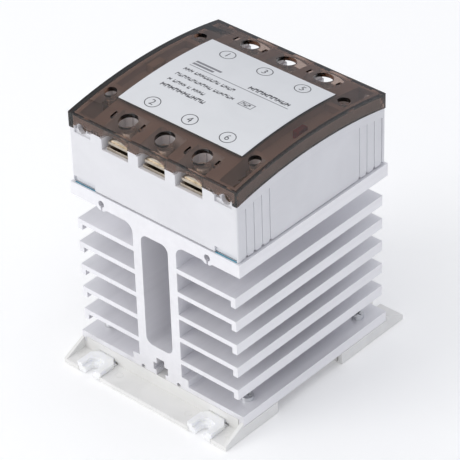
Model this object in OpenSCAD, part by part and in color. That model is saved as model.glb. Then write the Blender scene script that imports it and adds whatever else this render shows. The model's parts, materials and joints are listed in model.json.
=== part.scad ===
// Three-phase solid state relay on an extruded heatsink, for a 35 mm top-hat rail or a flat panel.
// Millimetres. X is the width along the rail, Y the depth from front to back, Z the height.
// The origin is on the floor, under the middle of the part.

/* [Heatsink] */
// width of the top plate
sink_w = 100; // [92:1:112]
// length of the extrusion, front to back
sink_len = 100; // [92:1:120]
// thickness of the top plate
plate_t = 6.8; // [6:0.2:9]
// height of the top plate's upper face above the floor
sink_top = 95; // [94:1:105]
// distance from one fin to the next
fin_pitch = 12.65; // [12:0.05:13]
// thickness of a fin
fin_t = 2.5; // [1.6:0.1:3.2]
// distance from the top plate's side to the fin tips
fin_inset = 2.9; // [1:0.1:8]
// height of the lip at a fin's tip
fin_lip_h = 5.5; // [3.5:0.1:7]
// outside width of the hollow column
column_w = 25.8; // [22:0.2:30]
// thickness of the hollow column's wall
column_t = 4.9; // [3:0.1:6]

/* [Housing] */
// distance from the top plate's side to the cover's side
cover_inset_x = 0.9; // [0.5:0.1:2]
// distance from the top plate's front to the cover's front
cover_inset_y = 0.7; // [0.5:0.1:2]
// height of the cover's front edge above the top plate
cover_h = 37; // [31:0.5:45]
// rise of the cover's arch
arch_rise = 5; // [3:0.25:7]
// thickness of the cover
cover_t = 2; // [1.4:0.1:2.4]
// thickness of the housing's wall
wall_t = 2.4; // [2:0.1:3]

/* [Terminals] */
// distance from one power terminal to the next
term_pitch = 21.6; // [20.4:0.1:23]
// width of a terminal's chamber
chamber_w = 15.7; // [15:0.1:17]
// radius of a screwdriver hole over a power terminal
driver_r = 4.6; // [4.2:0.1:5]
// height of the closed slit under a clamp
clamp_gap = 1.2; // [0.9:0.1:1.6]
// distance from the cover's side to a corner terminal
corner_inset_x = 7.1; // [6.6:0.1:8.5]
// distance from the cover's front to a corner terminal
corner_inset_y = 19.9; // [17:0.1:24]

/* [Feet] */
// length of a foot's flange past the heatsink
flange_len = 12.3; // [10:0.1:16]
// thickness of a foot's flange
flange_t = 2.4; // [2:0.1:3]
// distance from a foot's side to the middle of a rail latch
latch_inset = 15.85; // [15.5:0.05:19]
// width of a rail latch's lug
latch_w = 13; // [11:0.1:15]
// travel of a rail latch
latch_travel = 4.5; // [3.5:0.1:5.4]
// gap between the two feet, in which the rail lies
foot_gap = 44.7; // [43.5:0.1:54]
// distance from the middle of that gap forward to the middle of the heatsink
gap_shift = 4.65; // [3:0.05:6]

/* [Hidden] */
$fn = 64;
eps = 0.01;
air = 0.3;
far = 400;
half_len = sink_len / 2;
plate_under = sink_top - plate_t;
base_t = 2.6;
base_under = 9;
base_top = base_under + base_t;
base_half = sink_w / 2 - 0.4;
fin_span = sink_w - 2 * fin_inset;
lip_t = 2.7;
lip_under = 6.1;
block_half = 16.9;
block_top = 15.5;
fin_top = 25.5;
fin_count = floor((plate_under - fin_top - 6) / fin_pitch) + 1;
hollow_half = column_w / 2 - column_t;
hollow_low = 25.15;
hollow_high = plate_under - 2.9;
hollow_r = 3.8;
fillet_r = 5;
channel_x = 31.4;
channel_r = 1.7;
channel_z = sink_top - 4.4;

cover_w = sink_w - 2 * cover_inset_x;
cover_d = sink_len - 2 * cover_inset_y;
cover_top = sink_top + cover_h + arch_rise;
arch_r = (cover_d * cover_d / 4 + arch_rise * arch_rise) / (2 * arch_rise);
skirt_h = 7.6;
skirt_z = sink_top + cover_h - skirt_h;
sill_z = skirt_z + 1.8;
sill_half = cover_w / 2 - 2.6;
house_w = cover_w - 0.2;
house_d = cover_d - 0.2;
house_low = sink_top + 0.5;
deck_gap = 0.25;
deck_t = 2;
rim_x = cover_w / 2 - cover_t - 0.2;
rim_y = cover_d / 2 - cover_t - 0.2;
ledge_z = sill_z - 6.2;
block_low = ledge_z - 3;
block_back = rim_y - 14.9;
corner_x = cover_w / 2 - corner_inset_x;
corner_y = cover_d / 2 - corner_inset_y;
corner_back = corner_y - 5.4;
corner_in = corner_x - 6.6;

term_y = rim_y - 7.2;
bar_t = 1.5;
bar_w = chamber_w - 3.1;
bar_top = ledge_z + 0.1 + bar_t;
clamp_low = bar_top + clamp_gap;
clamp_t = 1.3;
clamp_w = bar_w - 0.4;
clamp_front = rim_y - 0.2;
clamp_back = term_y - 5.2;
saddle_rise = 1.9;
head_low = clamp_low + clamp_t + saddle_rise;
head_h = 2.4;
head_r = driver_r - 0.9;
screw_r = 1.95;
screw_fit = 0.05;

wire_r = 2.6;
entry_r = 15;
entry_top = sill_z + 3.3;
notch_r = 0.75;
tube_r = wire_r + 0.35;
tube_front = house_d / 2 - 1;
notch_in = corner_x - 5.8;
snap_x = 33;
snap_w = 1.8;
wire_z = sill_z - 1.2;
well_wall = 1.2;
well_front = rim_y - 1.1;
strip_drop = 3.5;
strip_in = corner_in + well_wall;
strip_out = rim_x - 1.7;
marker_low = cover_top - cover_t - deck_t - strip_drop - 1;
pad_top = wire_z - wire_r;
yoke_w = 5.6;
yoke_low = pad_top + 1.9;
yoke_h = 4.6;
pin_head_r = 2.5;
pin_head_h = 2;
pin_r = 1.45;
pin_hole_r = 2.95;
label_lift = 0.02;

pad_t = 0.3;
metal_t = 3;
metal_w = 2 * (house_w / 2 - wall_t);
metal_d = 2 * (house_d / 2 - wall_t);
metal_top = sink_top + pad_t + metal_t;
tile_w = term_pitch - 3.6;
tile_t = 1;
die_w = 9;
die_y = 9;
die_t = 0.5;
tile_top = metal_top + tile_t;
leg_y = block_back - 3.2;
tile_half = leg_y - 1;
relay_screw_x = metal_w / 2 - 5;
relay_screw_y = metal_d / 2 - 5.3;
gate_pin_x = 7.6;
gate_pin_y = 4;
board_z = metal_top + 9.7;
board_t = 1.6;
board_w = metal_w - 5;
board_d = 2 * (leg_y - bar_t) - 5;
post_x = board_w / 2 - 6.6;
post_y = board_d / 2 - 3.6;

flange_y = half_len + flange_len;
foot_half = sink_w / 2 - 0.15;
foot_wall = 2.2;
foot_in = base_half - lip_t - air;
latch_x = foot_half - latch_inset;
bar_half = latch_w / 2 - 1.8;
gap_front = -gap_shift - foot_gap / 2;
gap_back = foot_gap / 2 - gap_shift;
rib_t = 1.4;
deck_low = 7.1;
latch_gap = 0.3;
latch_low = 1.1;
latch_high = 4.9;
head_half = latch_w / 2 + 0.7;
lug_z = 5;
lug_r = 2.3;
lug_y = flange_y - 3.8;
rail_front = gap_front + 4.8;
rail_back = rail_front + 35;
hook_in = 1.8;
pocket_front = -half_len + 4;
stud_t = 1.6;
spring_len = 2 * latch_travel + 3;
pocket_back = pocket_front + 0.4 + stud_t + spring_len;
boss_r = 2.9;
foot_screw_x = latch_x + bar_half + latch_gap + boss_r + 0.1;
foot_screw_y = half_len - 11.5;

// ---- shared shapes ----

// box between two corners
module span(x0, x1, y0, y1, z0, z1) {
  translate([x0, y0, z0])
    cube([x1 - x0, y1 - y0, z1 - z0]);
}

// box centred on a vertical line
module block(x, y, w, d, z0, z1) {
  span(x - w / 2, x + w / 2, y - d / 2, y + d / 2, z0, z1);
}

// upright cylinder between two heights
module post(x, y, r, z0, z1) {
  translate([x, y, z0])
    cylinder(r = r, h = z1 - z0);
}

// cylinder along Y between two depths
module rod_y(x, z, r, y0, y1) {
  translate([x, y1, z])
    rotate([90, 0, 0])
      cylinder(r = r, h = y1 - y0);
}

// outline in X and Z, drawn out along Y
module along_y(y0, y1) {
  translate([0, y1, 0])
    rotate([90, 0, 0])
      linear_extrude(height = y1 - y0)
        children();
}

// everything at or below the cover's arch, lowered by a depth
module under_arch(depth) {
  translate([-far / 2, 0, cover_top - arch_r])
    rotate([0, 90, 0])
      cylinder(r = arch_r - depth, h = far, $fn = 256);
}

// upright box with rounded corners
module rounded_block(w, d, r, z0, z1) {
  translate([0, 0, z0])
    linear_extrude(height = z1 - z0) {
      square([w - 2 * r, d], center = true);
      square([w, d - 2 * r], center = true);
      for (x = [-1, 1])
        for (y = [-1, 1])
          translate([x * (w / 2 - r), y * (d / 2 - r)])
            circle(r = r);
    }
}

// cross recess of a screw head
module cross_recess(x, y, z, arm, depth) {
  block(x, y, 2 * arm, 0.8, z - depth, z + eps);
  block(x, y, 0.8, 2 * arm, z - depth, z + eps);
}

// pan head screw standing on a surface, its shank below
module pan_screw(x, y, z, r, h, shank_r, shank_low) {
  difference() {
    union() {
      post(x, y, r, z, z + h);
      post(x, y, shank_r, shank_low, z + eps);
    }
    cross_recess(x, y, z + h, r * 0.62, h * 0.6);
  }
}

// ---- heatsink ----

module round_rect(x0, x1, z0, z1, r) {
  translate([x0 + r, z0])
    square([x1 - x0 - 2 * r, z1 - z0]);
  translate([x0, z0 + r])
    square([x1 - x0, z1 - z0 - 2 * r]);
  for (x = [x0 + r, x1 - r])
    for (z = [z0 + r, z1 - r])
      translate([x, z])
        circle(r = r);
}

module fin_outline(z) {
  translate([column_w / 2 - eps, z - fin_t])
    square([fin_span / 2 - column_w / 2 + eps, fin_t]);
  translate([fin_span / 2 - lip_t, z - fin_lip_h])
    square([lip_t, fin_lip_h]);
}

module fillet_outline() {
  difference() {
    translate([column_w / 2 - eps, plate_under - fillet_r])
      square([fillet_r + eps, fillet_r + eps]);
    translate([column_w / 2 + fillet_r, plate_under - fillet_r])
      circle(r = fillet_r);
  }
}

module sink_half() {
  translate([0, plate_under])
    square([sink_w / 2, plate_t]);
  translate([channel_x, channel_z])
    circle(r = channel_r + 2);
  for (k = [0 : fin_count - 1])
    fin_outline(fin_top + k * fin_pitch);
  fillet_outline();
  translate([0, base_under])
    square([column_w / 2, plate_under - base_under + eps]);
  translate([0, base_under])
    square([base_half, base_t]);
  translate([base_half - lip_t, lip_under])
    square([lip_t, base_top - lip_under]);
  translate([0, base_under])
    square([block_half, block_top - base_under]);
}

module nut_slot_outline() {
  translate([-2.75, base_under - 1])
    square([5.5, 3.6]);
  translate([-4.4, base_top])
    square([8.8, 4.1]);
  translate([-2.35, base_top])
    square([4.7, 7.4]);
}

module sink_outline() {
  difference() {
    for (side = [0, 1])
      mirror([side, 0])
        sink_half();
    round_rect(-hollow_half, hollow_half, hollow_low, hollow_high, hollow_r);
    nut_slot_outline();
    for (side = [-1, 1]) {
      translate([side * channel_x, channel_z])
        circle(r = channel_r);
      translate([side * channel_x - 0.5, channel_z - 5])
        square([1, 5]);
      translate([side * 10.9, base_under + 0.9])
        circle(r = 1.1);
    }
  }
}

module heatsink() {
  color("silver")
    difference() {
      along_y(-half_len, half_len)
        sink_outline();
      for (x = [-1, 1])
        for (y = [-1, 1]) {
          post(x * foot_screw_x, y * foot_screw_y, 1.9, base_under - 1, base_top + 1);
          post(x * relay_screw_x, y * relay_screw_y, 1.95, plate_under + 1.4, sink_top + 1);
        }
    }
}

// ---- feet ----

// one end of a foot's side: triangular gusset, wall return and skirt under the heatsink's lip
module foot_side(skirt_end, rounded) {
  skirt_high = lip_under - 0.05;
  translate([foot_half - 1.6, 0, 0])
    rotate([90, 0, 90])
      linear_extrude(height = 1.6)
        polygon([
          [-flange_y, 0], [-half_len - 0.1, 0],
          [-half_len - 0.1, lip_under + 2], [-flange_y, flange_t]
        ]);
  difference() {
    span(foot_half - foot_wall, foot_half, -half_len - 0.1 - eps, skirt_end, 0, skirt_high);
    if (rounded) {
      difference() {
        span(foot_half - 4, foot_half + 1, skirt_end - 2, skirt_end + 1, -1, 2);
        translate([foot_half - 5, skirt_end - 2, 2])
          rotate([0, 90, 0])
            cylinder(r = 2, h = 8);
      }
    }
  }
  span(foot_in - 2, foot_half, -half_len - 0.1, -half_len + foot_wall, 0, skirt_high);
}

// flange, front wall and deck of a foot that stands under the heatsink's front end
module foot_body(inner_end, skirt_end, rounded) {
  span(-foot_half, foot_half, -flange_y, -half_len, 0, flange_t);
  span(-foot_in, foot_in, -half_len - 0.1, -half_len + foot_wall, 0, base_under - 0.05);
  span(-foot_in, foot_in, -half_len, inner_end, deck_low, base_under - 0.05);
  for (side = [0, 1])
    mirror([side, 0, 0]) {
      foot_side(skirt_end, rounded);
      post(foot_screw_x, -foot_screw_y, boss_r, 0.6, deck_low + eps);
      span(foot_screw_x, foot_half - foot_wall + eps, -foot_screw_y - 0.8, -foot_screw_y + 0.8,
        0.6, lip_under - 0.1);
    }
  for (k = [-1 : 1])
    span(k * (latch_x - latch_w) - rib_t / 2, k * (latch_x - latch_w) + rib_t / 2,
      -half_len + foot_wall - eps, inner_end, 0.6, deck_low + eps);
}

module foot_screw_holes() {
  for (side = [-1, 1])
    post(side * foot_screw_x, -foot_screw_y, 1.5, 1.6, base_under + 1);
}

// shallow ring marks on the flange
module flange_marks() {
  for (side = [-1, 1])
    for (x = [latch_x - 12.7, foot_half - 4.9])
      translate([side * x, -half_len - 5.5, flange_t - 0.12])
        difference() {
          cylinder(r = 1.9, h = 1);
          translate([0, 0, -1])
            cylinder(r = 1.65, h = 3);
        }
}

// notch in the flange, window in the wall and guide ribs for one latch
module latch_way(x) {
  block(x, -flange_y + flange_len / 2, latch_w + 2 * latch_gap, flange_len + 1.4, -1, flange_t + 1);
  block(x, -half_len + 1, 2 * (bar_half + latch_gap), 4, -1, latch_high + 0.35);
}

module latch_guides(x) {
  rib_half = bar_half + latch_gap;
  for (side = [-1, 1]) {
    block(x + side * (rib_half + rib_t / 2), (pocket_front + gap_front) / 2, rib_t,
      gap_front - pocket_front, 0.2, deck_low + eps);
    block(x + side * (rib_half - 0.4 + eps), (pocket_front + gap_front) / 2, 0.8 + 2 * eps,
      gap_front - pocket_front, 0.2, latch_low - 0.3);
  }
  block(x, pocket_front + 0.4 + stud_t / 2, 4, stud_t, latch_low + 0.4, deck_low + eps);
}

module front_foot() {
  color("gainsboro")
    difference() {
      union() {
        difference() {
          foot_body(gap_front, gap_front, true);
          for (side = [-1, 1])
            latch_way(side * latch_x);
        }
        for (side = [-1, 1])
          latch_guides(side * latch_x);
      }
      foot_screw_holes();
      flange_marks();
    }
}

module rear_foot() {
  color("gainsboro")
    mirror([0, 1, 0])
      difference() {
        union() {
          foot_body(-rail_back - 0.6, -gap_back, false);
          span(-foot_in, foot_in, -gap_back - foot_wall, -gap_back, 0, deck_low + eps);
          span(-30, 30, -gap_back - 1, -rail_back + hook_in, 2.6, latch_high);
        }
        foot_screw_holes();
        flange_marks();
        for (side = [-1, 1]) {
          post(side * latch_x, -lug_y, lug_r, -1, flange_t + 1);
          block(side * latch_x, -flange_y, 2 * lug_r, 2 * (flange_y - lug_y), -1, flange_t + 1);
        }
      }
}

module foot_screws() {
  color("lightgray")
    for (x = [-1, 1])
      for (y = [-1, 1])
        pan_screw(x * foot_screw_x, y * foot_screw_y, base_top, 3, 1.9, 1.5, 2);
}

// lug of a latch: eight-sided block with a stepped screw slot open to the front
module latch_lug(x) {
  back = -half_len - 0.4;
  cut = 3;
  difference() {
    translate([x, 0, 0]) {
      translate([0, 0, flange_t + 0.2])
        linear_extrude(height = lug_z - flange_t - 0.2)
          polygon([
            [-head_half, -flange_y], [head_half, -flange_y], [head_half, back - cut],
            [head_half - cut, back], [cut - head_half, back], [-head_half, back - cut]
          ]);
      block(0, (back - flange_y) / 2, latch_w, back + flange_y, latch_low - 0.6, flange_t + 0.2 + eps);
    }
    post(x, -lug_y, lug_r, -1, lug_z + 1);
    block(x, -flange_y, 2 * lug_r, 2 * (flange_y - lug_y), -1, lug_z + 1);
    post(x, -lug_y, lug_r + 1.9, lug_z - 1.8, lug_z + 1);
    block(x, -flange_y, 2 * lug_r + 3.8, 2 * (flange_y - lug_y), lug_z - 1.8, lug_z + 1);
  }
}

module latch(x) {
  tip = rail_front + hook_in;
  latch_lug(x);
  difference() {
    span(x - bar_half, x + bar_half, -half_len - 0.4 - eps, tip, latch_low, latch_high);
    span(x - 2.6, x + 2.6, pocket_front, pocket_back, latch_low - 1, latch_high + 1);
    translate([x, tip, latch_low])
      rotate([45, 0, 0])
        cube([2 * latch_w, 2.6, 2.6], center = true);
  }
}

module latch_left() {
  color("whitesmoke")
    latch(-latch_x);
}

module latch_right() {
  color("whitesmoke")
    latch(latch_x);
}

// row of coils of a pressure spring along Y
module latch_spring(x) {
  coil_r = 1.35;
  wire = 0.25;
  first = pocket_front + 0.4 + stud_t + wire;
  last = pocket_back - wire;
  turns = floor((last - first) / 1.2);
  color("dimgray")
    for (k = [0 : turns])
      translate([x, first + k * (last - first) / turns, (latch_low + latch_high) / 2])
        rotate([90, 0, 0])
          rotate_extrude($fn = 32)
            translate([coil_r, 0])
              circle(r = wire, $fn = 16);
}

module latch_spring_left() {
  latch_spring(-latch_x);
}

module latch_spring_right() {
  latch_spring(latch_x);
}

// ---- power stage under the housing ----

module thermal_foil() {
  color("steelblue")
    difference() {
      block(0, 0, metal_w, metal_d, sink_top, sink_top + pad_t);
      for (x = [-1, 1])
        for (y = [-1, 1])
          post(x * relay_screw_x, y * relay_screw_y, 2.3, sink_top - 1, metal_top);
    }
}

module base_plate() {
  color("silver")
    difference() {
      block(0, 0, metal_w, metal_d, sink_top + pad_t, metal_top);
      for (x = [-1, 1])
        for (y = [-1, 1])
          post(x * relay_screw_x, y * relay_screw_y, 2.2, sink_top - 1, metal_top + 1);
    }
}

module relay_screws() {
  color("lightgray")
    for (x = [-1, 1])
      for (y = [-1, 1])
        pan_screw(x * relay_screw_x, y * relay_screw_y, metal_top, 3.6, 2.6, 1.95, plate_under + 1.9);
}

module substrates() {
  color("white")
    for (k = [-1 : 1])
      block(k * term_pitch, 0, tile_w, 2 * tile_half, metal_top, tile_top);
}

module thyristor_dies() {
  color("dimgray")
    for (k = [-1 : 1])
      for (y = [-1, 1])
        block(k * term_pitch, y * die_y, die_w, die_w, tile_top, tile_top + die_t);
}

module copper_straps() {
  color("peru")
    for (k = [-1 : 1])
      for (y = [-1, 1])
        block(k * term_pitch, y * (die_y + 4.2), 7, 15, tile_top + die_t, tile_top + die_t + 0.6);
}

module potting() {
  color("whitesmoke")
    difference() {
      block(0, 0, 2 * term_pitch + tile_w + 4, 2 * leg_y - 11, tile_top + 1.3, board_z - 3.4);
      for (k = [-1 : 1])
        for (y = [-1, 1])
          post(k * term_pitch + gate_pin_x, y * gate_pin_y, 0.5, metal_top, board_z);
    }
}

// fixed bar of a power terminal: screw pad in front, leg down to the substrate
module power_bar(x, side) {
  mirror([0, side, 0])
    difference() {
      union() {
        span(x - bar_w / 2, x + bar_w / 2, -rim_y - 0.6, -leg_y + bar_t, bar_top - bar_t, bar_top);
        span(x - 4, x + 4, -leg_y, -leg_y + bar_t, tile_top, bar_top - eps);
        span(x - 4, x + 4, -leg_y, -leg_y + 5, tile_top, tile_top + 1);
      }
      post(x, -term_y, screw_r + screw_fit, ledge_z - 5, bar_top + 1);
    }
}

module load_bars() {
  color("silver")
    for (k = [-1 : 1])
      power_bar(k * term_pitch, 0);
}

module line_bars() {
  color("silver")
    for (k = [-1 : 1])
      power_bar(k * term_pitch, 1);
}

// fixed bars of the four corner terminals
module control_bars() {
  color("silver")
    for (x = [0, 1])
      for (y = [0, 1])
        mirror([x, 0, 0])
          mirror([0, y, 0])
            difference() {
              union() {
                span(strip_in + 0.1, strip_out - 0.1, 0.1 - well_front, -corner_back - 1.6, pad_top - 1.2, pad_top);
                span(corner_x - 2.6, corner_x + 2.6, -corner_back - 1.7, -corner_back + 2.2, pad_top - 1.2, pad_top);
              }
              post(corner_x, -corner_y, pin_r + screw_fit, pad_top - 3, pad_top + 1);
            }
}

module control_pins() {
  color("silver")
    for (x = [-1, 1])
      for (y = [-1, 1])
        block(x * corner_x, y * (corner_back - 1.4), 1, 0.8, board_z + board_t, pad_top - 1.2);
}

module gate_pins() {
  color("gold")
    for (k = [-1 : 1])
      for (y = [-1, 1])
        post(k * term_pitch + gate_pin_x, y * gate_pin_y, 0.45, tile_top, board_z);
}

// ---- circuit board ----

module board_posts() {
  color("goldenrod")
    for (x = [-1, 1])
      for (y = [-1, 1])
        difference() {
          post(x * post_x, y * post_y, 2.4, metal_top, board_z);
          post(x * post_x, y * post_y, 1.2, metal_top + 3, board_z + 1);
        }
}

module circuit_board() {
  color("seagreen")
    difference() {
      block(0, 0, board_w, board_d, board_z, board_z + board_t);
      for (x = [-1, 1])
        for (y = [-1, 1])
          post(x * post_x, y * post_y, 1.4, board_z - 1, board_z + board_t + 1);
    }
}

module board_screws() {
  color("lightgray")
    for (x = [-1, 1])
      for (y = [-1, 1])
        pan_screw(x * post_x, y * post_y, board_z + board_t, 2.3, 1.5, 1.2, metal_top + 3.5);
}

module opto_couplers() {
  color("whitesmoke")
    for (k = [-1 : 1])
      difference() {
        block(k * term_pitch - 4, 0, 8.6, 6.4, board_z + board_t, board_z + board_t + 3.6);
        post(k * term_pitch - 7, -2, 0.6, board_z + board_t + 3.3, board_z + board_t + 4);
      }
}

module snubber_capacitors() {
  color("royalblue")
    for (k = [-1 : 1])
      block(k * term_pitch, board_d / 2 - 9, 13, 6, board_z + board_t, board_z + board_t + 10);
}

module varistors() {
  color("darkorange")
    for (k = [-1 : 1])
      difference() {
        rod_y(k * term_pitch, board_z + board_t + 4.9, 5, 7 - board_d / 2, 11 - board_d / 2);
        block(k * term_pitch, 9 - board_d / 2, 12, 6, board_z, board_z + board_t);
      }
}

module gate_resistors() {
  color("tan")
    for (k = [-1 : 1])
      for (y = [-8, 8])
        rod_y(k * term_pitch + 6, board_z + board_t + 1.1, 1.1, y - 3, y + 3);
}

module control_regulator() {
  color("dimgray") {
    block(-34, 4, 6.5, 6, board_z + board_t, board_z + board_t + 2.3);
    block(-34, 8.5, 5.4, 3, board_z + board_t, board_z + board_t + 0.8);
  }
}

module indicator_lamp() {
  color("red") {
    post(corner_x, 0, 1.5, board_z + board_t, board_z + board_t + 4);
    translate([corner_x, 0, board_z + board_t + 4])
      sphere(r = 1.5);
  }
}

module indicator_window() {
  color("firebrick")
    intersection() {
      under_arch(cover_t + deck_gap);
      block(corner_x, 0, 3, 6.6, board_z + board_t + 6, cover_top);
    }
}

module marker_window() {
  color("linen")
    intersection() {
      under_arch(cover_t + deck_gap);
      block(-corner_x, 0, 4.2, 8.3, marker_low, cover_top);
    }
}

// ---- housing ----

module housing_outside() {
  intersection() {
    under_arch(skirt_h + 0.1);
    rounded_block(house_w, house_d, 0.8, house_low, cover_top);
  }
  intersection() {
    under_arch(cover_t + deck_gap);
    block(0, 0, 2 * rim_x, 2 * rim_y, house_low, cover_top);
  }
  span(-sill_half + air, sill_half - air, -house_d / 2, house_d / 2, skirt_z - 3, sill_z - 0.1);
}

// everything that is hollow between the two rows of terminals
module housing_inside() {
  inside_x = house_w / 2 - wall_t;
  inside_y = house_d / 2 - wall_t;
  intersection() {
    under_arch(cover_t + deck_gap + deck_t);
    span(-strip_in + 1.5, strip_in - 1.5, -block_back, block_back, house_low - 1, cover_top);
  }
  intersection() {
    under_arch(cover_t + deck_gap + deck_t + strip_drop);
    span(-inside_x, inside_x, -block_back, block_back, house_low - 1, cover_top);
  }
  block(0, 0, 2 * inside_x, 2 * inside_y, house_low - 1, block_low);
}

module corner_block() {
  intersection() {
    under_arch(cover_t + deck_gap);
    span(corner_in, rim_x, -rim_y, -corner_back, block_low, cover_top);
  }
}

// chamber of a power terminal, open to the front and to the top, with a hole for its screw's tip
module power_chamber(x) {
  span(x - chamber_w / 2, x + chamber_w / 2, -far, -rim_y + 13.4, ledge_z, cover_top);
  post(x, -term_y, screw_r + air, block_low - 1, ledge_z + eps);
  span(x - bar_w / 2 - 0.1, x + bar_w / 2 + 0.1, -rim_y + 13, -block_back + 1, ledge_z, bar_top + 0.1);
  span(x - 3.6, x - 2.8, -rim_y + 13, -rim_y + 13.9, ledge_z, cover_top);
  rod_y(x - chamber_w / 2 - 0.4, sill_z, notch_r, -far, -rim_y + 5);
}

// pocket of a corner terminal, with its wire entry, bar slot and a hole for its screw's tip
module corner_well() {
  span(strip_in, strip_out, -well_front, -corner_back - 1.5, pad_top - 1.25, cover_top);
  rod_y(corner_x, wire_z, wire_r, -far, 1 - well_front);
  post(corner_x, -corner_y, pin_r + air, pad_top - 3.2, pad_top);
  span(corner_x - 2.7, corner_x + 2.7, -corner_y - 1, -corner_back + 1, pad_top - 1.25, pad_top + 0.1);
  span(notch_in, sill_half - 0.5, -far, -tube_front, ledge_z + 2.2, sill_z + 3);
  span(notch_in, sill_half - 0.5, -far, -rim_y + 0.1, skirt_z - 0.4, sill_z + 3);
  rod_y(notch_in - 0.4, sill_z, notch_r, -far, -rim_y + 4);
}

// short tube around the wire entry of a corner terminal
module wire_boss() {
  difference() {
    rod_y(corner_x, wire_z, tube_r, -tube_front, -rim_y + 0.2);
    rod_y(corner_x, wire_z, wire_r, -far, 1 - well_front);
  }
}

// lowered deck between the two corner pockets of one side
module side_strip() {
  difference() {
    span(strip_in, strip_out, -corner_back + 1.2, corner_back - 1.2, skirt_z, cover_top);
    under_arch(cover_t + deck_gap + strip_drop);
  }
}

// shallow relief on the side: band under the cover, grooves at both ends, notches at their feet
module side_relief() {
  difference() {
    span(house_w / 2 - 0.25, house_w, -house_d / 2 + 2, house_d / 2 - 2, house_low - 1, cover_top);
    difference() {
      span(house_w / 2 - 2, house_w + 2, -far, far, house_low, cover_top + 1);
      under_arch(skirt_h + 4.5);
    }
  }
  for (y = [5.7 - house_d / 2, house_d / 2 - 17.4])
    for (k = [0 : 3])
      intersection() {
        under_arch(skirt_h + 4.5);
        union() {
          block(house_w / 2, y + 5.1 * k, 1.3, 0.5, house_low - 1, cover_top);
          block(house_w / 2, y + 5.1 * k, 2.2, 1.6, house_low - 1, house_low + 0.9);
        }
      }
}

module housing() {
  color("white") {
    for (x = [0, 1])
      for (y = [0, 1])
        mirror([x, 0, 0])
          mirror([0, y, 0])
            wire_boss();
    difference() {
      union() {
        difference() {
          housing_outside();
          housing_inside();
        }
        for (x = [0, 1])
          for (y = [0, 1])
            mirror([x, 0, 0])
              mirror([0, y, 0])
                corner_block();
      }
      for (y = [0, 1])
        mirror([0, y, 0])
          for (k = [-1 : 1])
            power_chamber(k * term_pitch);
      for (x = [0, 1])
        mirror([x, 0, 0]) {
          side_relief();
          side_strip();
          for (y = [0, 1])
            mirror([0, y, 0]) {
              corner_well();
              span(house_w / 2 - 13.6, house_w / 2 - 0.9, -house_d / 2 - 1, -house_d / 2 + 1.1,
                house_low - 1, house_low + 3);
            }
        }
      block(corner_x, 0, 3.1, 6.7, board_z + board_t + 5, cover_top);
      block(-corner_x, 0, 4.3, 8.4, marker_low - 0.1, cover_top);
    }
  }
}

// ---- cover and label ----

module cover_openings() {
  for (k = [-1 : 1]) {
    post(k * term_pitch, -term_y, driver_r, sill_z, cover_top + 1);
    intersection() {
      rod_y(k * term_pitch, entry_top - entry_r, entry_r, -far, -rim_y + 0.4);
      block(k * term_pitch, -house_d / 2, chamber_w, 8, sill_z - 1, cover_top);
    }
    rod_y(k * term_pitch - chamber_w / 2 - 0.4, sill_z, notch_r, -far, -rim_y + 0.4);
  }
  rod_y(notch_in - 0.4, sill_z, notch_r, -far, -rim_y + 0.4);
  for (k = [-1, 1])
    for (side = [-1, 1])
      block(k * term_pitch + side * (driver_r + 3.8), -term_y, 1.1, 3.8, sill_z, cover_top + 1);
  for (side = [-1, 1]) {
    post(side * corner_x, -corner_y, pin_hole_r, sill_z, cover_top + 1);
    rod_y(side * corner_x, wire_z, tube_r + air, -far, -rim_y + 0.4);
    block(side * corner_x, -rim_y - 2, 2 * (tube_r + air), 5, skirt_z - 2, wire_z);
    block(side * snap_x, -rim_y - 0.4, snap_w, 1.6, sill_z - 0.6, sill_z - 0.6 + snap_w);
  }
}

module cover() {
  color([0.25, 0.22, 0.2, 0.6])
    difference() {
      intersection() {
        under_arch(0);
        block(0, 0, cover_w, cover_d, skirt_z - 1, cover_top + 1);
      }
      under_arch(skirt_h);
      intersection() {
        under_arch(cover_t);
        block(0, 0, cover_w - 2 * cover_t, cover_d - 2 * cover_t, skirt_z - 2, cover_top);
      }
      for (y = [0, 1])
        mirror([0, y, 0]) {
          span(-sill_half, sill_half, -far, -rim_y + 0.3, skirt_z - 2, sill_z);
          cover_openings();
        }
    }
}

module label() {
  color("gainsboro")
    difference() {
      intersection() {
        under_arch(-0.3);
        block(0, 0, 72.2, 61.5, sink_top, cover_top + 1);
      }
      under_arch(-label_lift);
    }
}

// ---- moving pieces of the terminals ----

// saddle clamp of a power terminal: flat pad with a solid arched back
module clamp(x, side) {
  saddle_half = clamp_w / 2 - 0.8;
  saddle_r = (saddle_half * saddle_half + saddle_rise * saddle_rise) / (2 * saddle_rise);
  color("lightgray")
    mirror([0, side, 0])
      difference() {
        union() {
          span(x - clamp_w / 2, x + clamp_w / 2, -clamp_front, -clamp_back, clamp_low, clamp_low + clamp_t);
          intersection() {
            rod_y(x, head_low - saddle_r, saddle_r, 0.7 - clamp_front, -clamp_back - 1);
            block(x, -term_y, clamp_w, far, clamp_low + eps, head_low + 1);
          }
        }
        post(x, -term_y, screw_r + screw_fit, clamp_low - 1, head_low + 1);
      }
}

module power_screw(x, side) {
  color("lightgray")
    pan_screw(x, side * term_y, head_low, head_r, head_h, screw_r, block_low + 0.4);
}

// pressure block of a corner terminal
module yoke(x, y) {
  color("lightgray")
    difference() {
      block(x, y, yoke_w, yoke_w, yoke_low, yoke_low + yoke_h);
      post(x, y, pin_r + screw_fit, yoke_low - 1, yoke_low + yoke_h + 1);
    }
}

module corner_screw(x, y) {
  color("lightgray")
    pan_screw(x, y, yoke_low + yoke_h, pin_head_r, pin_head_h, pin_r, pad_top - 1.2);
}

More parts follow.
